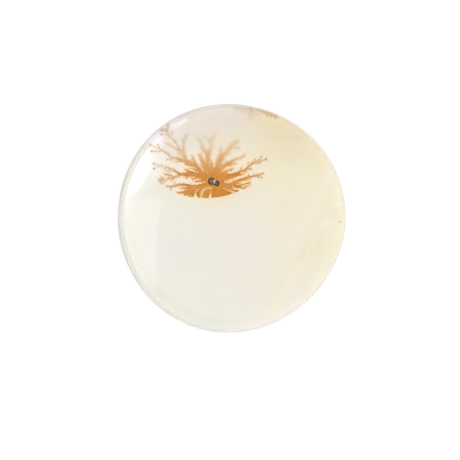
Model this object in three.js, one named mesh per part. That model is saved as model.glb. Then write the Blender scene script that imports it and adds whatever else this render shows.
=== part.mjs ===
// A dendritic agate cabochon: one round, flat-backed stone with a low polished dome, cut from a
// single piece of milky chalcedony. The iron-brown dendrites that it is named for are colour
// inside the stone, so the stone is one solid and nothing stands up from its face.
//
// Millimetres, +Z up. The stone lies on its flat back, whose centre is the origin. +Y points to
// the side of the face that holds the dendrites.

import * as THREE from "three";

const DIAMETER = 25; // across the girdle, the stone's widest line
const THICKNESS = 5.2; // from the flat back to the top of the dome
const BACK_BEVEL = 0.4; // leg of the 45 degree bevel that keeps the back's edge from chipping
const WALL_TOP = 2.4; // height at which the wall's line meets the dome's
const WALL_LEAN = 5; // degrees that the wall leans inwards, for a setting's bezel to close over
const SHOULDER_RADIUS = 0.7; // rounding where the wall turns into the dome

const AROUND = 120; // facets around the stone
const DOME_STEPS = 14; // facets from the shoulder to the top of the dome
const SHOULDER_STEPS = 6; // facets across the shoulder's rounding

const MILKY_CREAM = "#f0ead9"; // the body's colour
const POLISHED = 0.08; // roughness of an agate polish

const radius = DIAMETER / 2;
const lean = THREE.MathUtils.degToRad(WALL_LEAN);

// The dome is a spherical cap through the wall's upper end and the top of the stone.
function domeArc() {
  const rimRadius = radius - (WALL_TOP - BACK_BEVEL) * Math.tan(lean);
  const rise = THICKNESS - WALL_TOP;
  const domeRadius = (rimRadius ** 2 + rise ** 2) / (2 * rise);
  return { centre: new THREE.Vector2(0, THICKNESS - domeRadius), radius: domeRadius };
}

// The shoulder is a fillet that touches both the leaning wall and the dome from inside. Its
// centre lies on the wall's line moved inwards by its radius, at the dome's radius less its own
// from the dome's centre.
function shoulderArc(dome) {
  const outward = new THREE.Vector2(Math.cos(lean), Math.sin(lean));
  const upWall = new THREE.Vector2(-Math.sin(lean), Math.cos(lean));
  const foot = new THREE.Vector2(radius, BACK_BEVEL).addScaledVector(outward, -SHOULDER_RADIUS);
  const toFoot = foot.clone().sub(dome.centre);
  const reach = dome.radius - SHOULDER_RADIUS;
  const half = toFoot.dot(upWall);
  const along = -half + Math.sqrt(half ** 2 - toFoot.lengthSq() + reach ** 2);
  return { centre: foot.addScaledVector(upWall, along), radius: SHOULDER_RADIUS };
}

// Points of an arc from one angle to another, both ends included. Angles are measured from the
// horizontal, as the surface's outward direction is.
function arcPoints(arc, from, to, steps) {
  return Array.from({ length: steps + 1 }, (_, i) => {
    const angle = from + ((to - from) * i) / steps;
    return new THREE.Vector2(Math.cos(angle), Math.sin(angle))
      .multiplyScalar(arc.radius)
      .add(arc.centre);
  });
}

// Half of the stone's section, from the centre of the back round to the top of the dome.
function section() {
  const dome = domeArc();
  const shoulder = shoulderArc(dome);
  const tangent = shoulder.centre.clone().sub(dome.centre).angle();
  return [
    new THREE.Vector2(0, 0),
    new THREE.Vector2(radius - BACK_BEVEL, 0),
    new THREE.Vector2(radius, BACK_BEVEL),
    ...arcPoints(shoulder, lean, tangent, SHOULDER_STEPS),
    ...arcPoints(dome, tangent, Math.PI / 2, DOME_STEPS).slice(1, -1),
    new THREE.Vector2(0, THICKNESS),
  ];
}

function agateStone() {
  const geometry = new THREE.LatheGeometry(section(), AROUND);
  geometry.rotateX(Math.PI / 2); // a lathe turns about Y, and the stone's axis is Z
  const material = new THREE.MeshStandardMaterial({
    color: MILKY_CREAM,
    roughness: POLISHED,
    metalness: 0,
  });
  const stone = new THREE.Mesh(geometry, material);
  stone.name = "agate_stone";
  return stone;
}

const specimen = new THREE.Group();
specimen.add(agateStone());

export default specimen;
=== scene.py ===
# A dendritic agate cabochon, lying on its flat back under soft studio light.
#
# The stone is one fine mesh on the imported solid's own profile. The dendrites in it are only
# colour: they are drawn as strokes on a sheet, softened by the milky stone above them, and given
# to each vertex as one number per stain. Lengths are in millimetres until a mesh, light or
# camera is made.

import random
from math import atan2, ceil, cos, pi, radians, sin, sqrt, tan

import bpy
import numpy as np
from mathutils import Matrix, Quaternion, Vector


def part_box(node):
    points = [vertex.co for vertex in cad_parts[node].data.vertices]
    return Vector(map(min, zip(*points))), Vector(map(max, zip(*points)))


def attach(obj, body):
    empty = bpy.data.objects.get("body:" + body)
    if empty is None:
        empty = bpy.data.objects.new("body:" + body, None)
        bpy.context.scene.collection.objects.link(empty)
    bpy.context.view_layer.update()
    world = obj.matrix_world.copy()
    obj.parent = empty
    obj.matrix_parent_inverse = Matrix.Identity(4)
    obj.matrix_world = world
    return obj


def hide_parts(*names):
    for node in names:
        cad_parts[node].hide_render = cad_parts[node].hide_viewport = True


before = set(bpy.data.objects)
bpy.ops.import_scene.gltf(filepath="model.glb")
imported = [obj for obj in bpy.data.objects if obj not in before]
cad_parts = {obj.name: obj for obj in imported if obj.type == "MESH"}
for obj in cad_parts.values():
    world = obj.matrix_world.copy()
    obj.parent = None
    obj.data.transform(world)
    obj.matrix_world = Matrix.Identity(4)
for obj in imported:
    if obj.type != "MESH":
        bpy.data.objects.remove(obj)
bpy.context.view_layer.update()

MM = 0.001  # metres in a millimetre
SEED = 11

# The stone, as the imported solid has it
BACK_BEVEL = 0.4
WALL_TOP = 2.4
WALL_LEAN = radians(5)
SHOULDER_RADIUS = 0.7
low_corner, high_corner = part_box("agate_stone")
RADIUS = (high_corner.x - low_corner.x) / 2 / MM
THICKNESS = (high_corner.z - low_corner.z) / MM
RIM = RADIUS - (WALL_TOP - BACK_BEVEL) * tan(WALL_LEAN)
DOME_RISE = THICKNESS - WALL_TOP
DOME_RADIUS = (RIM ** 2 + DOME_RISE ** 2) / (2 * DOME_RISE)

# What a hand-cut stone has besides
EDGE_ROUNDING = 0.1  # of the bevel's two edges
OUT_OF_ROUND = 0.0093  # share of the radius by which the outline has three lobes
LOBE_ANGLE = radians(11)  # where the first one is
OUT_OF_ROUND_HEIGHTS = (0.8, 1.8)  # the dome follows the lobes from here up
WAVES_BEGIN = (WALL_TOP - 0.3, WALL_TOP + 0.4)
POLISH_WAVES = [(4.5, 0.0014, 4), (1.8, 0.0004, 5)]  # width, height, variant of the noise
WAVES_PLACE = 40  # where in the noise they are taken from

# The camera looks down on the face, from a little to the upper left. Pixels count from the middle
# of the picture's top left one.
CAMERA_TILT = radians(8.5)
CAMERA_SIDE = radians(150)  # where the camera leans to, from +X towards +Y
CAMERA_DISTANCE = 240
SENSOR = 36
IMAGE_PIXELS = 460
PIXELS_PER_MM = 9.17  # at the height of FACE_PLANE
FACE_PLANE = 1.5
STONE_CENTRE_PIXEL = (231.9, 218.1)
NUCLEUS_PIXEL = (214, 182)

# Mesh
DENDRITE_SECTOR = (radians(49), radians(158))
FINE_ANGLE, COARSE_ANGLE = radians(0.3), radians(3)
ANGLE_RAMP = radians(20)
FINE_RING, COARSE_RING = 0.06, 0.35
FINE_FROM = 2.3  # radius inside which the dome has no markings
BACK_RINGS = (0, 2, 4, 6, 8, 10, 11.6)
WALL_RINGS = (0.25, 0.5, 0.75)  # shares of the way up the wall
SHOULDER_STEPS = 9
STAINED_HEIGHTS = (0.9, 2.0)  # the stains begin on the wall and are full at its top

# The sheet of dendrites: a grid of millimetres from the nucleus, right and up
SHEET_LEFT, SHEET_RIGHT = -8.2, 8.6
SHEET_LOW, SHEET_HIGH = -5.6, 9.4
SHEET_STEP = 0.025
CUT_CENTRE = (-1.1, 7.89)  # the dome cuts the sheet off along this circle
CUT_RADIUS = 9.6
CUT_EDGE = 0.04  # how soft that edge is
DEEPEST_POINT = (0.3, 6.3)  # where most stone lies over the sheet
DEEP_REACH = 5.6

# Strokes and the side twigs on them. A range is the least and the most that a twig draws.
STROKE_STEP, STROKE_EDGE, STROKE_MARGIN = 0.05, 0.03, 0.3
FIRST_TWIG, TWIG_SPACING = (0.1, 0.3), (0.1, 0.24)
TWIG_TURN = (32, 58)  # degrees
TWIG_WIDTHS = (0.1, 0.05)
TWIG_LENGTH, TIPWARD_SHORTENING = (0.06, 0.36), 0.4
TWIG_ROOT = 0.7  # share of the arm's width that a twig is longer by

# Noise on the sheet: size of its features and variant. For fibres, the number between them says
# how much they change along the radius.
LATTICE_SIZE = 64  # random values before the noise repeats
STROKE_NOISE, CUT_NOISE, CLOUD_NOISE, STAIN_NOISE = (0.13, 0), (0.3, 1), (0.25, 3), (0.4, 7)
FIBRES, FINE_FIBRES = (0.35, 0.6, 2), (0.16, 0.5, 6)
FIBRES_AROUND = 9
STROKE_WANDER = CUT_WANDER = 0.03

# The dendrites' density. Here and below, a pair of places or values is where something begins and
# where it is there in full. Of three numbers, the first is its strength and the others are
# distances from the nucleus or the cut.
PALE_EDGE = 0.05  # softness of the gaps and cracks
GAP_CUT, CRACK_CUT, HEALED_CRACK_CUT = 0.9, 0.85, 0.56
HEALED_CRACK_BLUR = 0.06
EVEN_SHARE, FIBRE_SHARE, CLOUD_SHARE = 0.94, 0.06, 0.05
FINE_FIBRE_CUT, FINE_FIBRE_VALUES = (0.28, 0.9, 1.8), (0.1, 0.9)
LEFT_SIDE, LOW_SIDE = (-1.0, -3.0), (2.2, 0.8)
FADING, LEFT_FADING, LOW_LEFT_RELIEF, DEEP_FADING = 0.12, 0.24, 0.12, 0.5
LEFT_FADES, ARMS_FADE = (2.0, -2.0), (2.4, 5.0)
DEPTH_BLURS = (0.02, 0.07, 0.12, 0.17)  # from shallow to deep

# The glow and the halo beside the dendrites, and what takes them away
GLOW_RIMS = [(0.9, 0.12), (0.25, 0.3)]  # strength and blur
GLOW_FADING, DEEP_GLOW_FADING = (0.7, 3.0, 6.5), (0.4, 1.5, 3.0)
GLOW_INSIDE, GLOW_NEAR_CUT = 0.65, (0.35, -1.7, -0.7)
GLOW_PAST_CUT, GLOW_PAST_CUT_BLUR = (0.95, -0.15, 0.15), 1.5
HALO_STRENGTH, HALO_FADING, DEEP_HALO_FADING = 0.7, (0.35, 3.0, 6.0), 0.9
HALO_SPREAD = (2.0, 0.12)  # gain and blur

# Umber in the place of ochre, and added to it
OUTER_UMBER, DEEP_UMBER = (0.7, 3.4, 7.4), (0.4, 1.5, 4.0)
MOST_UMBER, LOW_LEFT_UMBER_CUT = 0.9, 0.45
OUTLINE_BLUR, OUTLINE_COVER, DEEP_OUTLINE_FADING = 0.16, (0.25, 0.5), 0.8
OUTLINE_UMBER, OUTLINE_OCHRE = 0.8, -0.12
CUT_UMBER = (0.08, -0.7, -0.1)
CRACK_UMBER, CRACK_SIDE_GAIN, CRACK_SIDE_BLUR = 0.2, 2.5, 0.12
CLOUD_UMBER, CLOUD_VALUES = (0.12, 1.2, 2.5), (0, 0.8)
FIBRE_UMBER, FIBRE_VALUES = (0.3, 1.3, 2.6), (-0.15, -0.9)

# Strokes of the dendrites: width at the root, width at the tip, and points from root to tip
ARMS = [
    # Up to the left, to the cluster at the stone's edge
    (1, 0.56, (-0.6, 0.7), (-1.4, 1.35), (-2.2, 1.9), (-3, 2.15)),
    (0.45, 0.26, (-2.5, 2), (-3.1, 2.5), (-3.4, 3)),
    (0.26, 0.1, (-3.4, 3), (-3.7, 3.5), (-4, 3.95), (-4.35, 4.5), (-5, 5.15)),
    (0.16, 0.16, (-4.85, 4.95), (-5.05, 5.35), (-5.1, 5.9), (-5.12, 6.3)),
    (0.13, 0.12, (-5.1, 5.5), (-5.4, 5.75), (-5.6, 6.05)),
    (0.07, 0.13, (-4.95, 5.1), (-5.4, 5.24), (-5.85, 5.26)),
    (0.08, 0.14, (-5.1, 5.45), (-5.5, 5.65), (-5.8, 5.74)),
    (0.12, 0.08, (-4.75, 4.9), (-4.6, 5.3), (-4.65, 5.6)),
    (0.16, 0.08, (-3.5, 3.1), (-3.9, 3.5), (-4.5, 3.85), (-5, 4.15), (-5.4, 4.3)),
    (0.14, 0.08, (-3.45, 2.9), (-3.8, 3.15), (-4.15, 3.42)),
    (0.34, 0.26, (-3.1, 2.4), (-3.35, 3.2), (-3.38, 3.9), (-3.25, 4.6), (-3.05, 5.2)),
    (0.16, 0.12, (-3.38, 4.1), (-3.6, 4.75)),
    # Left, the second arm
    (0.42, 0.2, (-2.7, 2.2), (-3.5, 2.42), (-4.2, 2.65), (-4.8, 2.82)),
    (0.2, 0.14, (-4.8, 2.82), (-5.1, 3.15), (-5.6, 3.42)),
    (0.12, 0.1, (-5.5, 3.38), (-5.95, 3.65), (-6.4, 3.85), (-6.85, 4.02), (-7.1, 4.25)),
    (0.11, 0.12, (-5.6, 3.42), (-6.15, 3.42), (-6.6, 3.4), (-6.95, 3.4)),
    (0.07, 0.1, (-6, 3.75), (-6.05, 3.98), (-6.2, 4.15)),
    (0.14, 0.1, (-4.3, 2.68), (-4.8, 2.52), (-5.2, 2.54)),
    (0.22, 0.08, (-3.3, 2.3), (-3.9, 2.3), (-4.4, 2.2)),
    (0.24, 0.08, (-1.7, 1.3), (-2.3, 1.48), (-2.85, 1.58)),
    # Left, the third arm
    (1, 0.6, (-0.8, 0.5), (-1.6, 0.85), (-2.4, 0.95), (-3, 0.9)),
    (0.42, 0.24, (-2.9, 0.95), (-3.4, 0.88), (-3.9, 1), (-4.4, 1.3)),
    (0.22, 0.14, (-4.4, 1.3), (-4.9, 1.55), (-5.6, 1.78)),
    (0.14, 0.12, (-5.5, 1.76), (-6.2, 1.9), (-6.75, 2.1)),
    (0.08, 0.1, (-6, 1.85), (-6.3, 1.62), (-6.75, 1.5)),
    (0.12, 0.08, (-4.9, 1.52), (-5.2, 1.56), (-5.5, 1.45)),
    (0.16, 0.08, (-4.3, 1.25), (-4.7, 1.22), (-5.1, 1.2)),
    (0.2, 0.15, (-3.6, 0.85), (-4.1, 0.66), (-4.6, 0.66), (-5, 0.8), (-5.5, 0.97)),
    (0.2, 0.15, (-4.1, 0.62), (-4.5, 0.5), (-5, 0.42), (-5.4, 0.28), (-5.8, 0.24), (-6.1, 0.32)),
    (0.13, 0.1, (-5.3, 0.32), (-5.6, 0.45), (-5.92, 0.62)),
    (0.1, 0.1, (-5.1, 0.36), (-5.35, 0.1), (-5.6, 0)),
    (0.08, 0.08, (-5.6, 0.25), (-5.9, 0.02)),
    (0.1, 0.06, (-4.3, 0.5), (-4.75, 0.28)),
    (0.24, 0.06, (-2.6, 0.75), (-3, 0.6), (-3.1, 0.4)),
    (0.2, 0.06, (-2.6, 1.2), (-3, 1.4), (-3.3, 1.45)),
    (0.3, 0.1, (-1.5, 0.6), (-2, 0.5), (-2.45, 0.32)),
    (0.28, 0.1, (-1.3, 0.15), (-1.8, 0.15), (-2.2, 0.05)),
    # Left, the fourth arm and the ones along the cut
    (0.84, 0.34, (-0.8, -0.3), (-1.6, -0.52), (-2.3, -0.5), (-3, -0.34)),
    (0.3, 0.14, (-2.9, -0.32), (-3.4, -0.25), (-3.9, -0.25), (-4.4, -0.38), (-4.9, -0.47), (-5.25, -0.42)),
    (0.12, 0.1, (-4.5, -0.42), (-4.75, -0.78)),
    (0.12, 0.08, (-4.1, -0.25), (-4.35, -0.02)),
    (0.4, 0.08, (-1.9, -0.7), (-2.6, -0.64), (-3.2, -0.66), (-3.8, -0.66)),
    (0.6, 0.12, (-1.8, -1.1), (-2.6, -1), (-3.3, -1.05), (-3.8, -1.14), (-4.15, -1.08)),
    (0.4, 0.12, (-1.9, -1.4), (-2.7, -1.3), (-3.3, -1.35)),
    (0.36, 0.12, (-1.4, -1.5), (-2.2, -1.5), (-2.8, -1.52)),
    # Up, between the upper left and the top
    (0.5, 0.12, (-1.2, 1.2), (-1.8, 1.75), (-2.2, 2.3), (-2.45, 3)),
    (0.12, 0.06, (-2.25, 2.4), (-2.3, 2.9)),
    (0.64, 0.34, (-0.4, 1.1), (-0.85, 1.7), (-1.2, 2.15), (-1.42, 2.6), (-1.6, 3)),
    (0.2, 0.1, (-1.2, 2.1), (-1.15, 2.6)),
    # Up, the tall ones
    (0.7, 0.46, (-0.3, 1.2), (-0.55, 1.9), (-0.7, 2.5), (-0.8, 3.1)),
    (0.38, 0.22, (-0.8, 3), (-1.15, 3.6), (-1.4, 4.15), (-1.6, 4.6), (-2, 5)),
    (0.4, 0.22, (-0.65, 2.8), (-0.5, 3.4), (-0.42, 4), (-0.35, 4.6), (0.05, 5.25)),
    (0.18, 0.14, (-0.4, 4.3), (-0.75, 4.8), (-1.3, 5.05)),
    (0.16, 0.12, (-0.45, 3.7), (-0.02, 4.1)),
    (0.2, 0.14, (-1, 3.3), (-1.5, 3.8)),
    (0.24, 0.1, (-0.3, 1.4), (-0.27, 1.9), (-0.27, 2.4)),
    # Up to the right
    (0.8, 0.5, (0.15, 1), (0.35, 1.8), (0.6, 2.4), (0.85, 2.95)),
    (0.42, 0.24, (0.85, 2.85), (1.25, 3.3), (1.65, 3.8), (1.95, 4.2), (2.6, 4.5)),
    (0.28, 0.18, (0.6, 2.6), (0.65, 3.3), (0.72, 3.9)),
    (0.2, 0.16, (1.45, 3.6), (2.1, 3.78), (2.7, 3.75)),
    (0.18, 0.1, (1.1, 3.1), (1.75, 3.15)),
    (0.24, 0.1, (0.7, 2.35), (1.15, 2.6)),
    (0.26, 0.1, (0.25, 1.8), (0.3, 2.9)),
    # Right, the upper ones
    (0.6, 0.3, (0.4, 1.2), (1, 1.8), (1.6, 2.15), (2.1, 2.4)),
    (0.22, 0.12, (1.9, 2.35), (2.4, 2.6), (2.9, 2.72), (3.35, 2.95)),
    (0.3, 0.1, (1, 1.75), (1.7, 1.95), (2.45, 2)),
    (0.5, 0.1, (0.5, 0.8), (1.1, 1.15), (1.6, 1.35), (2.1, 1.55)),
    # Right, the long one
    (1, 0.44, (0.5, 0.3), (1.2, 0.6), (1.9, 0.75), (2.6, 0.95)),
    (0.34, 0.15, (2.4, 0.9), (2.85, 1.2), (3.3, 1.36), (3.65, 1.65), (4, 1.95)),
    (0.16, 0.12, (3.9, 1.9), (4.3, 2.12), (4.75, 2.15), (5.15, 2.38), (5.65, 2.53)),
    (0.12, 0.08, (2.9, 1.3), (2.95, 1.72)),
    (0.12, 0.08, (3.65, 1.75), (3.72, 2.15)),
    (0.1, 0.07, (4.05, 2.05), (4.1, 2.35)),
    (0.1, 0.09, (4.3, 2.15), (4.42, 2.6)),
    (0.12, 0.1, (4.95, 2.3), (4.98, 2.6), (5.12, 2.88)),
    (0.09, 0.06, (4.65, 2.15), (4.7, 2.45)),
    (0.14, 0.08, (3.1, 1.25), (3.65, 1.2)),
    (0.14, 0.09, (3.45, 1.55), (3.8, 1.5), (4.12, 1.44)),
    (0.16, 0.08, (2.5, 0.8), (3.2, 0.88)),
    # Right, the lower ones
    (0.6, 0.34, (0.8, -0.2), (1.5, -0.15), (2.2, 0.1), (2.9, 0.32)),
    (0.3, 0.14, (2.8, 0.3), (3.2, 0.42), (3.6, 0.56), (4.2, 0.66), (4.8, 0.8), (5.35, 1.02)),
    (0.11, 0.1, (4.5, 0.7), (4.85, 0.6), (5.2, 0.48)),
    (0.09, 0.07, (3.6, 0.6), (3.75, 0.95)),
    (0.09, 0.06, (4.3, 0.7), (4.3, 0.95)),
    (0.09, 0.06, (4.7, 0.78), (4.65, 1)),
    (0.2, 0.08, (2.5, 0.15), (3.3, 0.28), (3.9, 0.35)),
    (0.4, 0.08, (1.2, -0.3), (2.2, -0.2), (3, -0.14), (3.5, -0.03), (3.88, 0.05)),
    (0.5, 0.3, (1.2, -0.5), (2.2, -0.4), (2.75, -0.58), (3.1, -0.68)),
    (0.34, 0.22, (3.05, -0.67), (3.4, -0.58), (3.65, -0.44), (3.9, -0.26)),
    (0.2, 0.17, (2.7, -0.33), (3.1, -0.23), (3.5, -0.11), (3.92, -0.02)),
    (0.5, 0.22, (0.8, -0.5), (1.6, -0.72), (2.2, -0.95), (2.5, -0.88)),
    (0.7, 0.18, (0.3, -0.9), (1.1, -1.12), (1.9, -1.15)),
]
DISC = (1.75, 1.75, (-0.2, 0), (0.2, 0.1))
BASE = (1.2, 0.9, (1.2, -1), (0.3, -1.25), (-0.9, -1.2), (-1.9, -1), (-2.6, -0.95))

# Pale gaps between the arms: width at the inner end, width at the outer end, points
GAPS = [
    (0.05, 0.3, (-1.2, 1.25), (-1.65, 1.85), (-1.95, 2.4), (-2.1, 3)),
    (0.04, 0.22, (-0.92, 2.1), (-1.06, 2.5), (-1.22, 3)),
    (0.06, 0.24, (-1.75, 1.08), (-2.4, 1.26), (-3, 1.6), (-3.6, 1.92), (-4.5, 2.12)),
    (0.05, 0.14, (-1.9, 1.5), (-2.5, 1.68), (-3.1, 1.72)),
    (0.06, 0.2, (-1.4, -0.08), (-1.9, -0.12), (-2.4, -0.16)),
    (0.03, 0.1, (-1.75, 0.32), (-2.1, 0.26), (-2.4, 0.14)),
    (0.07, 0.26, (1.1, 0), (1.7, 0.02), (1.95, 0.25), (2.4, 0.38), (2.8, 0.55), (3.3, 0.74)),
    (0.08, 0.14, (2.45, -0.24), (2.8, -0.17), (3.2, -0.06), (3.65, 0.08), (3.95, 0.18)),
    (0.06, 0.11, (2.95, -0.46), (3.25, -0.42), (3.55, -0.28), (3.9, -0.14)),
    (0.08, 0.24, (2, -0.45), (2.3, -0.65), (2.8, -0.74), (3.2, -0.88)),
    (0.05, 0.14, (0.95, -0.6), (1.5, -0.85), (1.95, -1), (2.5, -1.2)),
    (0.07, 0.26, (0.75, 1.2), (1.1, 1.36), (1.6, 1.62), (2, 1.76), (2.6, 1.84)),
    (0.06, 0.34, (1.5, 1), (2, 1.15), (2.4, 1.4)),
    (0.05, 0.2, (0.88, 2), (1.1, 2.35), (1.3, 2.62)),
    (0.06, 0.4, (0, 1.72), (-0.03, 2.3), (0, 3), (0.1, 3.8)),
    (0.04, 0.1, (-0.5, 1.9), (-0.5, 2.3)),
]

# Pale cracks across the dendrites, in the same form
CRACKS = [
    (0.05, 0.12, (-1.84, -0.8), (-2, -1), (-2.1, -1.2)),
    (0.12, 0.7, (-2.09, -1.22), (-2.08, -1.45), (-2.03, -1.9)),
    (0.06, 0.14, (-1.37, -1.35), (-1.5, -1.55), (-1.62, -1.8)),
    (0.05, 0.1, (-0.42, -0.85), (-0.43, -1.2)),
    (0.14, 0.42, (-0.44, -1.3), (-0.52, -1.85)),
]
HEALED_CRACK = (
    0.14, 0.3, (-0.3, -0.64), (-0.6, -0.58), (-0.9, -0.66), (-1.2, -0.84), (-1.38, -1.1), (-1.42, -1.3),
)

# Dark grains at the ends of the twigs: place, reach
DARKEST_TIP = ((-5.76, 5.76), 0.19)
TIPS = [
    DARKEST_TIP,
    ((-5.12, 6.34), 0.19),
    ((-5.78, 5.24), 0.13),
    ((-5.42, 5.8), 0.1),
    ((-5.57, 6.02), 0.07),
    ((-6.99, 4.08), 0.13),
    ((-6.22, 4.1), 0.09),
    ((-6.84, 3.4), 0.12),
    ((-6.55, 3.38), 0.08),
    ((-6.58, 2), 0.13),
    ((-6.58, 1.52), 0.12),
    ((-5.9, 0.34), 0.1),
    ((-5.22, -0.42), 0.1),
    ((5.6, 2.58), 0.13),
    ((5.1, 2.84), 0.09),
    ((4.84, 2.25), 0.09),
    ((5.3, 1), 0.12),
    ((5.2, 0.52), 0.09),
    ((4.3, 0.7), 0.08),
]
GRAIN_CORE, GRAIN_EDGE = 0.5, 1.2  # shares of the reach
TIP_UMBER, TIP_OCHRE_CUT, DARKEST_TIP_CORE = 0.85, 0.7, 0.55

# Brown at the stone's upper edge, as strokes: a soft smudge and a line with short spikes under it
SMUDGE = [
    (0.9, 0.8, (2.4, 8.2), (3.3, 8), (4.1, 7.8), (4.8, 7.65)),
    (0.84, 0.5, (4.02, 8.3), (4.02, 7.8), (3.98, 7.05)),
]
SPIKES = [
    (0.16, 0.18, (4.6, 8.05), (5.25, 7.83), (5.9, 7.6), (6.56, 7.32), (6.9, 7.16)),
    (0.2, 0.14, (2.5, 8.55), (3.2, 8.4), (4.1, 8.2)),
    (0.2, 0.12, (4.06, 8.3), (4.06, 7.75)),
    (0.24, 0.14, (5.32, 7.9), (5.31, 7.6)),
    (0.26, 0.14, (5.76, 7.7), (5.75, 7.45), (5.73, 7.2)),
    (0.24, 0.14, (6.2, 7.5), (6.19, 7.3), (6.16, 7.08)),
    (0.3, 0.16, (6.65, 7.35), (6.65, 7.15), (6.62, 6.96)),
    (0.14, 0.1, (5.52, 7.75), (5.5, 7.45)),
    (0.14, 0.1, (5.98, 7.6), (5.96, 7.3)),
]
SMUDGE_BLUR, SMUDGE_UMBER, SMUDGE_OCHRE = 0.16, 0.2, 0.08
SPIKE_BLUR, SPIKE_UMBER, SPIKE_OCHRE = 0.06, 0.54, 0.26

# The two touching spots at the nucleus: centre, outer radius, how dark and how brown the inside is
SPOTS = [
    ((-0.31, 0.135), 0.42, 0.73, 0.5),
    ((0.25, -0.1), 0.335, 0.84, 0.3),
]
SPOT_EDGE = 0.05
RING_WIDTH, RING_INNER_EDGE = 0.13, (-0.06, 0.04)
RING_DARKNESS, RING_GREYNESS = 0.95, 0.15
SURROUND_SPREAD, SURROUND_REACH, SURROUND_GREYNESS = (2.2, 0.14), 1, 0.16
SURROUND_CORE = (0.3, 0.05)  # it begins where the spots thin out
# A painted glint where the two spots touch, drawn as a pale stroke
GLINT_STROKE = (0.2, 0.13, (0.02, 0.2), (-0.02, -0.04))  # a stroke
GLINT_EDGE, GLINT_CORE_CUT, GLINT_OCHRE_CUT, GLINT_GLOW_CUT = 0.06, 0.86, 0.9, 0.8
NUCLEUS_BLUR, NUCLEUS_GLOW_CUT, NUCLEUS_CORE = 0.03, 0.8, (0.1, 0.6)

# What each stain, where it covers fully, leaves of red, green and blue
STAINS = {
    "glow": (0.98, 0.9, 0.6, 1.0),
    "ochre": (0.765, 0.352, 0.047, 1.0),
    "umber": (0.5, 0.36, 0.28, 1.0),
    "core": (0.06, 0.035, 0.02, 1.0),
}
HALO = "#ffe4ac"  # clear stone beside the dendrites

# The body, from its milky side to its golden one: place on the drift between them, colour
BODY_CLOUDS = (0.1, 3.0)  # scale and detail of the noise
DRIFT_RIGHT, DRIFT_UP = 0.026, 0.018
BODY_COLOURS = [(0.15, "#dfded7"), (0.5, "#e2ddd4"), (0.9, "#e4ddc7")]
GOLDEN_PLACE, GOLDEN_REACH, GOLDEN = (7.2, 8.0, 2.9), (7.4, 0.5), "#e0d8bc"
# Painted shade that darkens the upper side of the stone towards its edge
TOP_SHADE, TOP_SHADE_Y = (0.89, 0.87, 0.93, 1.0), (5.0, 13.0)  # what it leaves of the colour
# Painted shade at the dome's lower left edge: what it leaves of the colour, and where it begins and is
# full along x, y and height
EDGE_SHADE, EDGE_SHADE_XYZ = (0.95, 0.95, 0.93, 1.0), [(4.0, -4.0), (3.0, -3.0), (3.25, 2.75)]

# Streaks inside the stone, and one painted highlight at the upper left edge: ends in the picture, half
# width, colour
STREAKS_AND_HIGHLIGHT = [
    ((332, 170), (276, 268), 0.8, "#e6dfcf"),
    ((328, 228), (311, 256), 0.42, "#e2dbc1"),
    ((308, 243), (279, 291), 0.44, "#e0d9be"),
    ((300, 262), (268, 316), 0.8, "#e5dfd0"),
    # a painted highlight on the upper left edge, drawn as a streak
    ((171, 126), (187, 119), 0.42, "#e7e5e1"),
]
STREAK_STRENGTH = 0.8
STREAK_WANDER, STREAK_NOISE = 1.2, 0.4  # width of the band that they wander in, noise scale
STREAK_CORE, STREAK_FADE = 0.15, 0.15  # shares of the half width and of the length

# Patches, two of them painted reflections beside the highlight, and the brown speck: place in the picture,
# reach, colour
PATCHES_AND_REFLECTIONS = [
    ((279, 113), 3.6, "#dccfb2"),
    # a painted reflection: the polish's white haze beside the highlight
    ((151, 164), 1.5, "#e4e1de"),
    ((325, 223), 0.75, "#e8e1d2"),
    ((338, 204), 0.4, "#e8e1d2"),
    # a painted reflection, lilac-white, above the highlight
    ((156, 141), 1.2, "#e6e2e4"),
    ((296, 198), 5.0, "#e3ddc9"),
    ((299, 131), 1.6, "#d9cdb4"),
    ((339.5, 221.4), 0.17, "#b4a78a"),
]
PATCH_CORE = 0.3  # share of the reach

# The wall: heights where a look begins and where it is there in full
GROUND_HEIGHTS, DULLED_HEIGHTS, ABOVE_BACK_HEIGHTS = (2.72, 2.5), (2.67, 2.46), (0.02, 0.2)
BLOTCH_HEIGHTS, LAYER_HEIGHTS = (2.45, 2.1), (2.3, 1.9)
# Painted contact shade at the wall's foot, with a deeper one on the stone's lower side
SHADED_FOOT_HEIGHTS, LOW_SIDE_SHADE_HEIGHTS, LOW_SIDE_SHADE_Y = (0.3, 1.3), (1.7, 0.9), (2.5, -2.5)
LAP_STRETCH, LAYER_STRETCH = (0.5, 0.5, 9.0), (0.15, 0.15, 3.2)

# Noise in the wall and the polish: scale, detail and roughness
LAPS, GRAINS, LAYERS = (1.0, 4.0, 0.6), (6.0, 3.0), (1.0, 3.0)
BLOTCHES, BLOTCH_VALUES, LEAST_BLOTCH = (2.4, 2.0), (0.38, 0.52), 0.38
SMUDGES, SMUDGE_VALUES = (0.4, 4.0), (0.3, 0.8)
LAP_SHARE, TONE_SHARE, LAPPED_VALUES = 0.6, 0.12, (0.5, 1.1)
RAGGED_SCALE, RAGGED_SHARE = 0.6, 0.06
# The ground wall's tone, darkest at the foot for painted contact shade
WALL_TONE_AND_FOOT_SHADE = [(0.0, "#c5c2bd"), (0.5, "#e8e7e7"), (1.0, "#ecebed")]
LAYER_COLOURS = [(0.35, "#e6e2d9"), (0.5, "#fbfaf7"), (0.6, "#ffffff")]
# Painted shade, deepest at the foot on the stone's lower side
LOW_SIDE_FOOT_SHADE = (0.78, 0.78, 0.77, 1.0)  # what the foot leaves of the colour on the stone's lower side

# Roughness of the polished and the ground stone, least and most
POLISHED, GROUND = (0.03, 0.075), (0.32, 0.5)
SCRATCH_DEPTH, SCRATCH_STRENGTH = 0.008, 0.5

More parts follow.
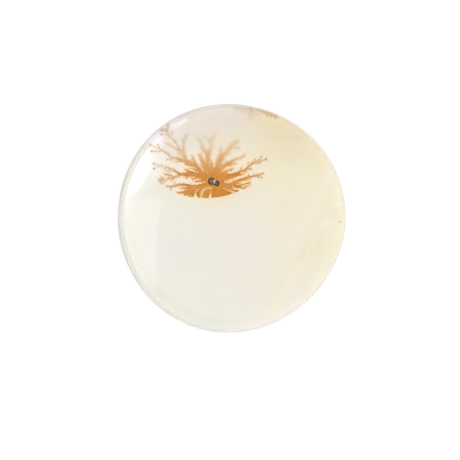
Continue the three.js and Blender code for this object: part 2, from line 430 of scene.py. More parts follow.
# What is the same all over a material
STONE_VALUES = {
    "IOR": 1.54,
    "Transmission Weight": 0.2,
    "Subsurface Weight": 1.0,
    "Subsurface Radius": (1.0, 0.9, 0.7),
    "Subsurface Scale": 4 * MM,
}
FLOOR_VALUES = {"Base Color": (0.94, 0.94, 0.94, 1), "Roughness": 0.9, "Specular IOR Level": 0.0}

# Light. A panel looks straight down: name, shape, centre, size, radiance, turn in degrees.
PANELS = [
    ("round_lamp", "ELLIPSE", (-305, 150, 300), (190, 210), 5.0, 0),
    ("lamp_rim", "ELLIPSE", (-275, 160, 300), (235, 215), 1.2, 0),
    ("side_panel", "RECTANGLE", (-303, -93, 300), (250, 300), 1.25, -8),
]
OVERHEAD_WIDTH = radians(90)
OVERHEAD_STRENGTH = 0.79
OVERHEAD_PLACE = (0.22, -0.05, 1.0)
WALLS_STRENGTH = 1.38
WALLS_GREYS = [(0.0, 1.0), (0.35, 0.9), (0.62, 0.3), (1.0, 0.08)]  # from the horizon up
FLOOR_SIZE = 3000
FLOOR_DROP = 0.02  # keeps the floor clear of the stone's back


to_camera = Vector((
    sin(CAMERA_TILT) * cos(CAMERA_SIDE),
    sin(CAMERA_TILT) * sin(CAMERA_SIDE),
    cos(CAMERA_TILT),
))
picture_up = (Vector((0, 1, 0)) - to_camera * to_camera.y).normalized()
picture_right = picture_up.cross(to_camera)
face_centre = Vector((0, 0, FACE_PLANE))


def picture_place(pixel):
    """Millimetres right and up from the picture's middle, at the height of FACE_PLANE."""
    middle = (IMAGE_PIXELS - 1) / 2
    return (pixel[0] - middle) / PIXELS_PER_MM, (middle - pixel[1]) / PIXELS_PER_MM


stone_right, stone_up = picture_place(STONE_CENTRE_PIXEL)
eye_place = face_centre - picture_right * stone_right - picture_up * stone_up
eye_place += to_camera * CAMERA_DISTANCE


def place_in_stone(pixel):
    """The point seen at the pixel, on a plane through the stone that faces the camera."""
    right, up = picture_place(pixel)
    return face_centre + picture_right * (right - stone_right) + picture_up * (up - stone_up)


def linear(hex_colour):
    """The scene-linear form, with alpha 1, of a colour as a screen shows it."""
    parts = [int(hex_colour[i:i + 2], 16) / 255 for i in (1, 3, 5)]
    return tuple(p / 12.92 if p <= 0.04045 else ((p + 0.055) / 1.055) ** 2.4 for p in parts) + (1.0,)


def smooth(value, low, high):
    """0 up to low and 1 past high, smooth between them. Low may be the larger one."""
    t = np.clip((value - low) / (high - low), 0, 1)
    return t * t * (3 - 2 * t)


def between(grid, column, row, right, up):
    """Values between the grid's points, at shares of the way to the next ones right and up."""
    row_count, column_count = grid.shape
    low, high = row % row_count, (row + 1) % row_count
    left, next_left = column % column_count, (column + 1) % column_count
    bottom = grid[low, left] * (1 - right) + grid[low, next_left] * right
    top = grid[high, left] * (1 - right) + grid[high, next_left] * right
    return bottom * (1 - up) + top * up


def value_noise(x, y, scale, variant):
    """Smooth random values from -1 to 1, with features of about the given size."""
    lattice = np.random.default_rng(SEED + variant).uniform(-1, 1, (LATTICE_SIZE, LATTICE_SIZE))
    x, y = x / scale, y / scale
    column, row = np.floor(x).astype(int), np.floor(y).astype(int)
    return between(lattice, column, row, smooth(x - column, 0, 1), smooth(y - row, 0, 1))


# Drawing on the sheet

def along(points):
    """Points at even steps on a smooth curve through the given ones."""
    p = np.array([points[0], *points, points[-1]], float)
    pieces = []
    for before, start, end, after in zip(p, p[1:], p[2:], p[3:]):
        count = max(2, ceil(np.linalg.norm(end - start) / STROKE_STEP))
        t = np.linspace(0, 1, count, endpoint=False)[:, None]
        bend = 2 * start + (end - before) * t
        bend = bend + (2 * before - 5 * start + 4 * end - after) * t ** 2
        pieces.append((bend + (3 * start - before - 3 * end + after) * t ** 3) / 2)
    return np.vstack([*pieces, p[-1:]])


def spurs(arm, draw):
    """Short side twigs of an arm, left and right in turn."""
    root, tip, *points = arm
    curve = along(points)
    side = draw.choice((-1, 1))
    twigs = []
    place = draw.uniform(*FIRST_TWIG)
    total = STROKE_STEP * len(curve)
    while place < total:
        i = min(int(place / STROKE_STEP), len(curve) - 2)
        way = curve[i + 1] - curve[i]
        x, y = way / max(np.linalg.norm(way), 1e-6)
        turn = side * radians(draw.uniform(*TWIG_TURN))
        out = np.array([x * cos(turn) - y * sin(turn), x * sin(turn) + y * cos(turn)])
        share = place / total
        width = root + (tip - root) * share
        length = TWIG_ROOT * width + draw.uniform(*TWIG_LENGTH) * (1 - TIPWARD_SHORTENING * share)
        twigs.append((*TWIG_WIDTHS, curve[i], curve[i] + out * length))
        side = -side
        place += draw.uniform(*TWIG_SPACING)
    return twigs


def dendrite_strokes():
    """Every arm with its side twigs, and the masses at the nucleus and the cut."""
    draw = random.Random(SEED)
    strokes = [DISC, BASE]
    for arm in ARMS:
        strokes += [arm, *spurs(arm, draw)]
    return strokes


class Sheet:
    """The grid that the dendrites are drawn on, and where its points lie in the stone."""

    def __init__(self):
        self.columns = np.arange(SHEET_LEFT, SHEET_RIGHT, SHEET_STEP)
        self.rows = np.arange(SHEET_LOW, SHEET_HIGH, SHEET_STEP)
        self.x, self.y = np.meshgrid(self.columns, self.rows)
        self.radius = np.hypot(self.x, self.y)
        self.from_cut = self.distance(CUT_CENTRE) + CUT_WANDER * self.noise(*CUT_NOISE)
        self.depth = np.clip(1 - (self.distance(DEEPEST_POINT) / DEEP_REACH) ** 2, 0, 1)
        self.low_left = smooth(self.x, *LEFT_SIDE) * smooth(self.y, *LOW_SIDE)

    def distance(self, place):
        """Millimetres between each point and the place."""
        return np.hypot(self.x - place[0], self.y - place[1])

    def noise(self, size, variant):
        """Smooth random values, others for each variant."""
        return value_noise(self.x, self.y, size, variant)

    def fibres(self, size, stretch, variant):
        """Random values that run out from the nucleus as fibres do."""
        around = FIBRES_AROUND * np.arctan2(self.y, self.x)
        return value_noise(around, self.radius * stretch, size, variant)

    def outward(self, strength, start, end):
        """0 near the nucleus and the strength further out, between two distances from it."""
        return strength * smooth(self.radius, start, end)

    def past_cut(self, strength, start, end):
        """The same for the cut, where distances inside it are negative."""
        return strength * smooth(self.from_cut, CUT_RADIUS + start, CUT_RADIUS + end)

    def inside(self, strokes):
        """How far inside the strokes each point lies, negative outside them."""
        field = np.full(self.x.shape, -1.0)
        for root, tip, *points in strokes:
            curve = along(points)
            for (x, y), width in zip(curve, np.linspace(root, tip, len(curve))):
                reach = width / 2 + STROKE_MARGIN
                columns = slice(*np.searchsorted(self.columns, (x - reach, x + reach)))
                rows = slice(*np.searchsorted(self.rows, (y - reach, y + reach)))
                part = rows, columns
                distance = np.hypot(self.x[part] - x, self.y[part] - y)
                field[part] = np.maximum(field[part], width / 2 - distance)
        return field

    def cover(self, strokes, edge):
        """1 inside the strokes and 0 outside them, with a soft edge."""
        return smooth(self.inside(strokes), -edge, edge)


def blurred(field, sigma):
    """The field under a Gaussian blur of sigma millimetres."""
    rows = np.fft.fftfreq(field.shape[0], SHEET_STEP)[:, None]
    columns = np.fft.rfftfreq(field.shape[1], SHEET_STEP)[None, :]
    kernel = np.exp(-2 * (pi * sigma) ** 2 * (rows ** 2 + columns ** 2))
    return np.fft.irfft2(np.fft.rfft2(field) * kernel, field.shape)


def spread_out(field, gain, sigma):
    """The field blurred, made stronger by the gain and held at 1."""
    return np.clip(gain * blurred(field, sigma), 0, 1)


def seen_through_stone(field, depth):
    """The field softened and made fainter by the milky stone above it."""
    place = depth * (len(DEPTH_BLURS) - 1)
    softened = 0
    for i, sigma in enumerate(DEPTH_BLURS):
        softened = softened + blurred(field, sigma) * np.clip(1 - np.abs(place - i), 0, 1)
    return np.clip(softened, 0, 1) * (1 - DEEP_FADING * depth)


# The stains: fields over the sheet, from 0 to about 1

def dendrite_density(sheet, cracks, fine_fibres):
    """How densely the dendrites fill each point."""
    inside = sheet.inside(dendrite_strokes()) + STROKE_WANDER * sheet.noise(*STROKE_NOISE)
    density = smooth(inside, -STROKE_EDGE, STROKE_EDGE)
    density *= 1 - GAP_CUT * sheet.cover(GAPS, PALE_EDGE)
    density *= 1 - CRACK_CUT * cracks
    density *= 1 - sheet.past_cut(1, -CUT_EDGE, CUT_EDGE)

    fibres, clouds = sheet.fibres(*FIBRES), sheet.noise(*CLOUD_NOISE)
    density *= EVEN_SHARE + FIBRE_SHARE * fibres + CLOUD_SHARE * clouds
    density *= 1 - smooth(fine_fibres, *FINE_FIBRE_VALUES) * sheet.outward(*FINE_FIBRE_CUT)
    healed = blurred(sheet.cover([HEALED_CRACK], STROKE_EDGE), HEALED_CRACK_BLUR)
    density *= 1 - HEALED_CRACK_CUT * healed
    leftward = smooth(sheet.x, *LEFT_FADES)
    fainter = FADING + LEFT_FADING * leftward - LOW_LEFT_RELIEF * sheet.low_left
    return density * (1 - sheet.outward(fainter, *ARMS_FADE))


def glow_field(sheet, density):
    """Warm light that the dendrites spread around them, and faintly past the cut."""
    glow = sum(strength * blurred(density, sigma) for strength, sigma in GLOW_RIMS)
    glow *= 1 - sheet.outward(*GLOW_FADING)
    glow *= GLOW_INSIDE + sheet.past_cut(*GLOW_NEAR_CUT)
    glow *= 1 - sheet.depth * sheet.outward(*DEEP_GLOW_FADING)
    past_cut = blurred(density, GLOW_PAST_CUT_BLUR) * sheet.past_cut(*GLOW_PAST_CUT)
    return np.clip(glow, 0, 1) + past_cut


def halo_field(sheet, density, softened):
    """Clear stone close beside the dendrites, where they lie shallow."""
    beside = spread_out(density, *HALO_SPREAD) * (1 - softened)
    beside *= 1 - DEEP_HALO_FADING * sheet.depth
    return beside * (HALO_STRENGTH - sheet.outward(*HALO_FADING))


def umber_share(sheet):
    """How much of the ochre gives way to umber: more at the ends and deep in the stone."""
    share = sheet.outward(*OUTER_UMBER) + sheet.depth * sheet.outward(*DEEP_UMBER)
    return np.clip(share, 0, MOST_UMBER) * (1 - LOW_LEFT_UMBER_CUT * sheet.low_left)


def outline_field(sheet, softened):
    """The dendrites' own edges, where they aren't deep."""
    spread = blurred(softened, OUTLINE_BLUR)
    edge = np.clip(softened - spread, 0, 1) * smooth(spread, *OUTLINE_COVER)
    return edge * (1 - DEEP_OUTLINE_FADING * sheet.depth)


def umber_accents(sheet, cracks, fine_fibres):
    """What darkens the dendrites a little: the cut, the cracks' sides, clouds and fibres."""
    crack_sides = np.clip(CRACK_SIDE_GAIN * blurred(cracks, CRACK_SIDE_BLUR) * (1 - cracks), 0, 1)
    clouds = smooth(sheet.noise(*STAIN_NOISE), *CLOUD_VALUES) * sheet.outward(*CLOUD_UMBER)
    fibres = smooth(fine_fibres, *FIBRE_VALUES) * sheet.outward(*FIBRE_UMBER) * (1 - sheet.depth)
    return sheet.past_cut(*CUT_UMBER) + CRACK_UMBER * crack_sides + clouds + fibres


def grain_field(sheet, tip):
    """1 in the middle of a dark grain and 0 around it."""
    place, reach = tip
    return 1 - smooth(sheet.distance(place), GRAIN_CORE * reach, GRAIN_EDGE * reach)


def add_tips(sheet, stains):
    """Darkens the grains at the twigs' ends."""
    for tip in TIPS:
        grain = grain_field(sheet, tip)
        stains["umber"] = np.maximum(stains["umber"], TIP_UMBER * grain)
        stains["ochre"] *= 1 - TIP_OCHRE_CUT * grain
    stains["core"] = DARKEST_TIP_CORE * grain_field(sheet, DARKEST_TIP)


def add_upper_edge(sheet, stains):
    """Adds the smudge and the spikes at the stone's upper edge."""
    smudge = blurred(sheet.cover(SMUDGE, STROKE_EDGE), SMUDGE_BLUR)
    spikes = blurred(sheet.cover(SPIKES, STROKE_EDGE), SPIKE_BLUR)
    stains["umber"] += SMUDGE_UMBER * smudge + SPIKE_UMBER * spikes
    stains["ochre"] += SMUDGE_OCHRE * smudge + SPIKE_OCHRE * spikes


def add_nucleus(sheet, stains):
    """Adds the two dark spots with their rings, and a painted glint where they touch."""
    core, ochre = stains["core"], stains["ochre"]
    for place, reach, darkness, brownness in SPOTS:
        distance = sheet.distance(place)
        disc = 1 - smooth(distance, reach - SPOT_EDGE, reach + SPOT_EDGE)
        ring_start, ring_full = (reach - RING_WIDTH + offset for offset in RING_INNER_EDGE)
        ring = smooth(distance, ring_start, ring_full)
        core = np.maximum(core, disc * (darkness + (RING_DARKNESS - darkness) * ring))
        ochre *= 1 - disc * (1 - ring) * (1 - brownness) - disc * ring * RING_GREYNESS
    around = spread_out(core, *SURROUND_SPREAD) * smooth(core, *SURROUND_CORE)
    around *= sheet.radius < SURROUND_REACH
    ochre *= 1 - SURROUND_GREYNESS * around
    # the painted glint: a pale stroke that clears the stains
    pale = sheet.cover([GLINT_STROKE], GLINT_EDGE)
    ochre *= 1 - GLINT_OCHRE_CUT * pale
    core = blurred(core * (1 - GLINT_CORE_CUT * pale), NUCLEUS_BLUR)
    stains["core"] = core
    stains["glow"] *= 1 - NUCLEUS_GLOW_CUT * smooth(core, *NUCLEUS_CORE)
    stains["glow"] *= 1 - GLINT_GLOW_CUT * pale


def dendrite_stains(sheet):
    """How strongly each stain, and the halo, shows at the sheet's points."""
    cracks = sheet.cover(CRACKS, PALE_EDGE)
    fine_fibres = sheet.fibres(*FINE_FIBRES)
    density = dendrite_density(sheet, cracks, fine_fibres)
    softened = seen_through_stone(density, sheet.depth)
    share = umber_share(sheet)
    accents = umber_accents(sheet, cracks, fine_fibres)
    outline = outline_field(sheet, softened)
    stains = {
        "halo": halo_field(sheet, density, softened),
        "glow": glow_field(sheet, density),
        "ochre": softened * (1 - share) + OUTLINE_OCHRE * outline,
        "umber": softened * (share + accents) + OUTLINE_UMBER * outline,
    }
    add_tips(sheet, stains)
    add_upper_edge(sheet, stains)
    add_nucleus(sheet, stains)
    return stains


def sampled(field, x, y):
    """The field's values at points of the sheet, 0 outside the grid."""
    column, row = (x - SHEET_LEFT) / SHEET_STEP, (y - SHEET_LOW) / SHEET_STEP
    within = (column >= 0) & (row >= 0) & (column < field.shape[1] - 1) & (row < field.shape[0] - 1)
    i, j = column.astype(int), row.astype(int)
    return np.where(within, between(field, i, j, column - i, row - j), 0)


# The stone's mesh

def unit(angle):
    """The point of the unit circle at the angle."""
    return np.array([cos(angle), sin(angle)])


def edge_arc(corner, first, last, steps=4):
    """Points of a rounded corner between two faces, given the directions that they look in."""
    a, b = unit(first), unit(last)
    centre = np.array(corner) - EDGE_ROUNDING * (a + b) / (1 + a @ b)
    return [centre + EDGE_ROUNDING * unit(t) for t in np.linspace(first, last, steps + 1)]


def dome_height(radius):
    """The height of the dome's sphere at a radius from the stone's axis."""
    return THICKNESS - DOME_RADIUS + np.sqrt(DOME_RADIUS ** 2 - radius ** 2)


def stone_profile():
    """Half of the stone's section, from the centre of the back to the top of the dome."""
    dome_centre = np.array([0, THICKNESS - DOME_RADIUS])
    outward, up_wall = unit(WALL_LEAN), unit(WALL_LEAN + pi / 2)
    foot = np.array([RADIUS, BACK_BEVEL]) - SHOULDER_RADIUS * outward
    to_foot = foot - dome_centre
    half = to_foot @ up_wall
    rise_along = -half + sqrt(half ** 2 - to_foot @ to_foot + (DOME_RADIUS - SHOULDER_RADIUS) ** 2)
    shoulder = foot + up_wall * rise_along
    tangent = atan2(*(shoulder - dome_centre)[::-1])

    points = [(r, 0.0) for r in BACK_RINGS]
    points += edge_arc((RADIUS - BACK_BEVEL, 0), -pi / 2, -pi / 4)
    points += edge_arc((RADIUS, BACK_BEVEL), -pi / 4, WALL_LEAN)
    wall_low, wall_high = points[-1], shoulder + SHOULDER_RADIUS * outward
    points += [wall_low + (wall_high - wall_low) * t for t in WALL_RINGS]
    turns = np.linspace(WALL_LEAN, tangent, SHOULDER_STEPS)
    points += [shoulder + SHOULDER_RADIUS * unit(t) for t in turns]
    r = points[-1][0]
    while r > COARSE_RING:
        r -= FINE_RING if r > FINE_FROM else COARSE_RING
        if r > 0:
            points.append((r, dome_height(r)))
    points.append((0.0, THICKNESS))
    return np.array(points)


def ring_angles():
    """Angles around the stone, closest together where the dendrites are."""
    start, end = DENDRITE_SECTOR
    angles = []
    angle = start
    while angle < start + 2 * pi - FINE_ANGLE / 2:
        angles.append(angle)
        outside = min(max(angle - end, 0), start + 2 * pi - angle, ANGLE_RAMP)
        angle += FINE_ANGLE + (COARSE_ANGLE - FINE_ANGLE) * (outside / ANGLE_RAMP) ** 2
    return np.array(angles)


def polish_waves(x, y):
    """The slight unevenness that polishing by hand leaves."""
    waves = 0
    for width, height, variant in POLISH_WAVES:
        waves = waves + height * value_noise(x + WAVES_PLACE, y + WAVES_PLACE, width, variant)
    return waves


def stone_vertices(rings, angles):
    """The vertices of all rings, and the heights that they have on the profile."""
    wider = 1 + OUT_OF_ROUND * np.cos(3 * (angles - LOBE_ANGLE))
    x = np.outer(rings[:, 0], wider * np.cos(angles)).ravel()
    y = np.outer(rings[:, 0], wider * np.sin(angles)).ravel()
    level = np.repeat(rings[:, 1], len(angles))
    from_round = dome_height(np.hypot(x, y)) - dome_height(np.repeat(rings[:, 0], len(angles)))
    z = level + from_round * smooth(level, *OUT_OF_ROUND_HEIGHTS)
    z = z + polish_waves(x, y) * smooth(level, *WAVES_BEGIN)
    return np.stack([x, y, z], 1), level


def stone_faces(ring_count, around):
    """Quads between the rings, and triangles at the centres of the back and the dome."""
    i = np.arange(around)
    j = (i + 1) % around
    faces = []
    for ring in range(ring_count - 1):
        low, high = 1 + ring * around, 1 + (ring + 1) * around
        faces += np.stack([low + i, low + j, high + j, high + i], 1).tolist()
    last = 1 + (ring_count - 1) * around
    top = last + around
    faces += np.stack([np.zeros_like(i), 1 + j, 1 + i], 1).tolist()
    faces += np.stack([last + i, last + j, np.full_like(i, top)], 1).tolist()
    return faces


def as_seen(vertices):
    """Millimetres right and up from the nucleus, as the camera sees the vertices."""
    from_eye = vertices - np.array(eye_place)
    enlarged = -CAMERA_DISTANCE / (from_eye @ np.array(to_camera))
    nucleus_right, nucleus_up = picture_place(NUCLEUS_PIXEL)
    right = from_eye @ np.array(picture_right) * enlarged - nucleus_right
    up = from_eye @ np.array(picture_up) * enlarged - nucleus_up
    return right, up


def add_object(name, data):
    """A new object in the scene."""
    thing = bpy.data.objects.new(name, data)
    bpy.context.scene.collection.objects.link(thing)
    return thing


def add_attribute(mesh, name, values):
    """Gives the mesh one number per vertex under the name."""
    attribute = mesh.attributes.new(name, "FLOAT", "POINT")
    attribute.data.foreach_set("value", values.astype(np.float32))


def make_stone():
    """The stone's mesh, with its height on the profile and its stains as attributes."""
    profile, angles = stone_profile(), ring_angles()
    rings = profile[1:-1]
    body, level = stone_vertices(rings, angles)
    vertices = np.vstack([(0, 0, 0), body, (0, 0, THICKNESS)])
    mesh = bpy.data.meshes.new("polished_agate")
    mesh.from_pydata((vertices * MM).tolist(), [], stone_faces(len(rings), len(angles)))
    mesh.shade_smooth()
    add_attribute(mesh, "level", np.hstack([0, level, THICKNESS]))

    right, up = as_seen(vertices)
    on_face = smooth(vertices[:, 2], *STAINED_HEIGHTS)
    for name, field in dendrite_stains(Sheet()).items():
        add_attribute(mesh, name, sampled(field, right, up) * on_face)
    return add_object("polished_agate", mesh)


# Materials. A place is a node's output, in millimetres from the back's centre.

class Nodes:
    """Short calls for the nodes of a material or world."""

    def __init__(self, tree):
        self.tree = tree

    def fill(self, node, inputs):
        """Links the node's inputs to other nodes' outputs, or sets them to values."""
        for name, value in dict(inputs).items():
            if isinstance(value, bpy.types.NodeSocket):
                self.tree.links.new(value, node.inputs[name])
            else:
                node.inputs[name].default_value = value

    def new(self, kind, inputs=(), **settings):
        """A node with its settings and inputs."""
        node = self.tree.nodes.new(kind)
        for name, value in settings.items():
            setattr(node, name, value)
        self.fill(node, inputs)
        return node

    def math(self, operation, *values):
        """The operation's result for the values."""
        return self.new("ShaderNodeMath", enumerate(values), operation=operation).outputs[0]

    def vector(self, operation, output, *values):
        """The output of a vector operation on the values."""
        return self.new("ShaderNodeVectorMath", enumerate(values), operation=operation).outputs[output]

    def times(self, a, b):
        """The product of two numbers."""
        return self.math("MULTIPLY", a, b)

    def mix(self, factor, a, b, blend="MIX"):
        """Colour a, with b mixed in as far as the factor says."""
        node = self.new("ShaderNodeMix", {0: factor, 6: a, 7: b}, data_type="RGBA", blend_type=blend)
        return node.outputs[2]

    def dimmed(self, factor, colour, kept):
        """The colour with only the kept share of it, as far as the factor says."""
        return self.mix(factor, colour, kept, "MULTIPLY")

    def blend(self, factor, a, b):
        """Number a at a factor of 0, and b at 1."""
        return self.new("ShaderNodeMix", {0: factor, 2: a, 3: b}, data_type="FLOAT").outputs[0]

    def ramp(self, value, stops):
        """A colour that runs through the stops."""
        node = self.new("ShaderNodeValToRGB", {0: value})
        elements = node.color_ramp.elements
        while len(elements) < len(stops):
            elements.new(0.5)
        for element, (place, colour) in zip(elements, stops):
            element.position = place
            element.color = colour
        return node.outputs[0]

    def colours(self, value, stops):
        """A ramp with its colours as a screen shows them."""
        return self.ramp(value, [(place, linear(colour)) for place, colour in stops])

    def noise(self, vector, scale, detail=2.0, roughness=0.5):
        """Smooth random values around 0.5."""
        return self.new("ShaderNodeTexNoise", {
            "Vector": vector, "Scale": scale, "Detail": detail, "Roughness": roughness,
        }).outputs[0]

    def range(self, value, low, high, to_low=0.0, to_high=1.0):
        """The value carried smoothly from one range to another and held there."""
        sockets = {0: value, 1: low, 2: high, 3: to_low, 4: to_high}
        return self.new("ShaderNodeMapRange", sockets, interpolation_type="SMOOTHSTEP").outputs[0]

    def along(self, place, way):
        """How far the place lies along the way."""
        return self.vector("DOT_PRODUCT", "Value", place, way)

    def attribute(self, name):
        """The mesh's number of that name."""
        return self.new("ShaderNodeAttribute", attribute_name=name).outputs["Fac"]


def new_material(name, values):
    """A material, its nodes and its shader, which has the values."""
    material = bpy.data.materials.new(name)
    material.use_nodes = True
    nodes, shader = Nodes(material.node_tree), material.node_tree.nodes["Principled BSDF"]
    nodes.fill(shader, values)
    return material, nodes, shader


def stained(nodes, colour, kept):
    """The colour lit up beside the dendrites and under what is kept of their stains."""
    colour = nodes.mix(nodes.attribute("halo"), colour, linear(HALO))
    for name, leaves in STAINS.items():
        colour = nodes.dimmed(nodes.times(nodes.attribute(name), kept), colour, leaves)
    return colour


def streak(nodes, place, wander, first_pixel, last_pixel, half_width):
    """1 along the middle of a streak through the stone, down to 0 around it; the painted highlight is one
    too.
    """
    first, last = place_in_stone(first_pixel), place_in_stone(last_pixel)
    way = (last - first).normalized()
    side = way.cross(to_camera)
    across = nodes.math("ADD", nodes.along(place, side), wander)
    away = nodes.math("ABSOLUTE", nodes.math("SUBTRACT", across, side.dot(first)))
    covered = nodes.range(away, half_width, STREAK_CORE * half_width)
    onward = nodes.along(place, way)
    fade = STREAK_FADE * (last - first).length
    started = nodes.range(onward, way.dot(first) - fade, way.dot(first) + fade)
    not_ended = nodes.range(onward, way.dot(last) + fade, way.dot(last) - fade)
    return nodes.times(covered, nodes.times(started, not_ended))


def patch(nodes, place, pixel, reach):
    """1 at a place in the picture, down to 0 at the reach."""
    centre = place_in_stone(pixel)
    right = nodes.math("SUBTRACT", nodes.along(place, picture_right), picture_right.dot(centre))
    up = nodes.math("SUBTRACT", nodes.along(place, picture_up), picture_up.dot(centre))
    squares = nodes.math("MULTIPLY_ADD", right, right, nodes.times(up, up))
    return nodes.range(nodes.math("SQRT", squares), reach, PATCH_CORE * reach)


def body_colour(nodes, place):
    """Milky grey lower left, cream right, golden upper right; painted shade at the top and lower left
    edge.
    """
    x, y, z = nodes.new("ShaderNodeSeparateXYZ", {0: place}).outputs
    drift = nodes.math("MULTIPLY_ADD", x, DRIFT_RIGHT, nodes.noise(place, *BODY_CLOUDS))
    drift = nodes.math("MULTIPLY_ADD", y, DRIFT_UP, drift)
    colour = nodes.colours(drift, BODY_COLOURS)
    from_golden = nodes.vector("DISTANCE", "Value", place, GOLDEN_PLACE)
    colour = nodes.mix(nodes.range(from_golden, *GOLDEN_REACH), colour, linear(GOLDEN))
    # painted shade on the upper side
    colour = nodes.dimmed(nodes.range(y, *TOP_SHADE_Y), colour, TOP_SHADE)
    # painted shade at the dome's lower left edge
    leftward, downward, low = (nodes.range(p, *ends) for p, ends in zip((x, y, z), EDGE_SHADE_XYZ))
    edge = nodes.times(nodes.times(low, downward), leftward)
    colour = nodes.dimmed(edge, colour, EDGE_SHADE)

    # patches, two of them painted reflections
    for pixel, reach, tint in PATCHES_AND_REFLECTIONS:
        colour = nodes.mix(patch(nodes, place, pixel, reach), colour, linear(tint))
    sideways = nodes.noise(place, STREAK_NOISE)
    wander = nodes.math("MULTIPLY_ADD", sideways, STREAK_WANDER, -STREAK_WANDER / 2)
    # streaks, and the painted highlight at the upper left edge
    for first_pixel, last_pixel, half_width, tint in STREAKS_AND_HIGHLIGHT:
        mask = streak(nodes, place, wander, first_pixel, last_pixel, half_width)
        colour = nodes.mix(nodes.times(mask, STREAK_STRENGTH), colour, linear(tint))
    return colour


def wall_texture(nodes, place):
    """Lapping marks that run around the wall, with fine grains between them."""
    stretched = nodes.vector("MULTIPLY", "Vector", place, LAP_STRETCH)
    laps, grains = nodes.noise(stretched, *LAPS), nodes.noise(place, *GRAINS)
    return nodes.math("MULTIPLY_ADD", laps, LAP_SHARE, grains)


def stains_kept(nodes, place, height):
    """How much of the stains shows: all on the dome, and only blotches on the wall."""
    blotches = nodes.range(nodes.noise(place, *BLOTCHES), *BLOTCH_VALUES, LEAST_BLOTCH, 1.0)
    return nodes.blend(nodes.range(height, *BLOTCH_HEIGHTS), 1.0, blotches)


def wall_coloured(nodes, colour, place, height, texture, dulled):
    """The colour dulled by the ground wall, with painted shade at its foot, deeper on the stone's lower
    side, and faint layers across it.
    """
    # painted contact shade, darkest at the foot
    rise = nodes.range(height, *SHADED_FOOT_HEIGHTS)
    tone_and_foot_shade = nodes.colours(nodes.math("MULTIPLY_ADD", texture, TONE_SHARE, rise), WALL_TONE_AND_FOOT_SHADE)
    colour = nodes.dimmed(dulled, colour, tone_and_foot_shade)
    y = nodes.new("ShaderNodeSeparateXYZ", {0: place}).outputs[1]
    # deeper painted shade at the foot on the stone's lower side
    downward, low = nodes.range(y, *LOW_SIDE_SHADE_Y), nodes.range(height, *LOW_SIDE_SHADE_HEIGHTS)
    colour = nodes.dimmed(nodes.times(downward, low), colour, LOW_SIDE_FOOT_SHADE)
    flattened = nodes.vector("MULTIPLY", "Vector", place, LAYER_STRETCH)
    layers = nodes.colours(nodes.noise(flattened, *LAYERS), LAYER_COLOURS)
    return nodes.dimmed(nodes.range(height, *LAYER_HEIGHTS), colour, layers)


def agate_material():
    """Milky translucent stone with a polished dome and back and a ground wall."""
    material, nodes, shader = new_material("agate", STONE_VALUES)
    metres = nodes.new("ShaderNodeTexCoord").outputs["Object"]
    place = nodes.new("ShaderNodeVectorMath", {0: metres, 3: 1 / MM}, operation="SCALE").outputs[0]
    height = nodes.attribute("level")
    uneven = nodes.noise(place, RAGGED_SCALE)
    ragged = nodes.math("MULTIPLY_ADD", uneven, RAGGED_SHARE, height)
    above_back = nodes.range(height, *ABOVE_BACK_HEIGHTS)
    ground = nodes.times(nodes.range(ragged, *GROUND_HEIGHTS), above_back)
    dulled = nodes.times(nodes.range(ragged, *DULLED_HEIGHTS), above_back)
    texture = wall_texture(nodes, place)

    kept = stains_kept(nodes, place, height)
    colour = stained(nodes, body_colour(nodes, place), kept)
    colour = wall_coloured(nodes, colour, place, height, texture, dulled)
    polish = nodes.range(nodes.noise(place, *SMUDGES), *SMUDGE_VALUES, *POLISHED)
    lapped = nodes.range(texture, *LAPPED_VALUES, *GROUND)
    bump = nodes.new("ShaderNodeBump", {
        "Strength": nodes.times(ground, SCRATCH_STRENGTH),
        "Distance": SCRATCH_DEPTH * MM,
        "Height": texture,
    })
    nodes.fill(shader, {
        "Base Color": colour,
        "Roughness": nodes.blend(ground, polish, lapped),
        "Normal": bump.outputs[0],
    })
    return material


# Studio

def make_floor():
    """A plain, pale and dull square under the stone."""
    mesh = bpy.data.meshes.new("studio_floor")
    side = FLOOR_SIZE * MM
    corners = [(-side, -side, 0), (side, -side, 0), (side, side, 0), (-side, side, 0)]
    mesh.from_pydata(corners, [], [(0, 1, 2, 3)])
    mesh.materials.append(new_material("studio_floor", FLOOR_VALUES)[0])
    floor = add_object("studio_floor", mesh)
    floor.location.z = -FLOOR_DROP * MM


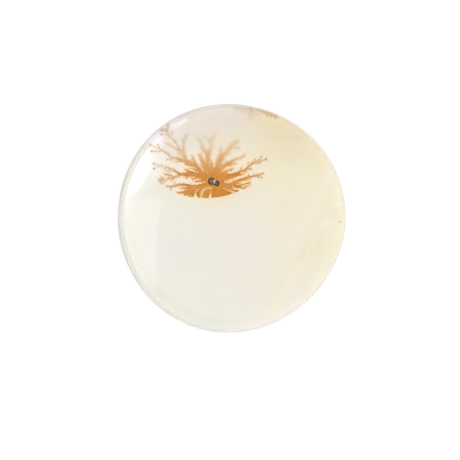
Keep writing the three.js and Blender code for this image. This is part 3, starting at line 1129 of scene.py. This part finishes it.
def add_lamp(name, light, centre, turn):
    """Puts the light at a place in millimetres, with its rotation."""
    lamp = add_object(name, light)
    lamp.location = Vector(centre) * MM
    lamp.rotation_mode = "QUATERNION"
    lamp.rotation_quaternion = turn
    return lamp


def make_panel(name, shape, centre, size, radiance, turn):
    """A flat light that looks straight down."""
    light = bpy.data.lights.new(name, "AREA")
    light.shape = shape
    light.size, light.size_y = size[0] * MM, size[1] * MM
    area = light.size * light.size_y * (pi / 4 if shape == "ELLIPSE" else 1)
    light.energy = radiance * pi * area
    add_lamp(name, light, centre, Quaternion((0, 0, 1), radians(turn)))


def make_overhead():
    """Even light from above and the right, left out of the polish's reflections."""
    light = bpy.data.lights.new("overhead", "SUN")
    light.angle = OVERHEAD_WIDTH
    light.energy = OVERHEAD_STRENGTH * pi
    turn = Vector(OVERHEAD_PLACE).to_track_quat("Z", "Y")
    add_lamp("overhead", light, (0, 0, 0), turn).visible_glossy = False


def make_world():
    """Bright walls around the set, and a darker ceiling for the polish to reflect."""
    world = bpy.data.worlds.new("studio")
    world.use_nodes = True
    nodes = Nodes(world.node_tree)
    towards = nodes.new("ShaderNodeTexCoord").outputs["Generated"]
    rise = nodes.new("ShaderNodeSeparateXYZ", {0: towards}).outputs[2]
    shade = nodes.ramp(rise, [(place, (grey, grey, grey, 1)) for place, grey in WALLS_GREYS])
    nodes.fill(nodes.tree.nodes["Background"], {"Color": shade, "Strength": WALLS_STRENGTH})
    bpy.context.scene.world = world


def make_camera():
    """The photo's camera, looking straight along its tilt."""
    camera = bpy.data.cameras.new("camera")
    camera.sensor_width = SENSOR
    camera.lens = CAMERA_DISTANCE * SENSOR * PIXELS_PER_MM / IMAGE_PIXELS
    camera.clip_start = 0.01
    camera.clip_end = 10
    eye = add_object("camera", camera)
    axes = Matrix((picture_right, picture_up, to_camera)).transposed()
    eye.matrix_world = Matrix.Translation(eye_place * MM) @ axes.to_4x4()
    bpy.context.scene.camera = eye


make_camera()
make_floor()
make_world()
make_overhead()
for panel in PANELS:
    make_panel(*panel)
bpy.context.scene.view_settings.view_transform = "Standard"

stone = make_stone()
stone.data.materials.append(agate_material())
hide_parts("agate_stone")
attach(stone, "root")
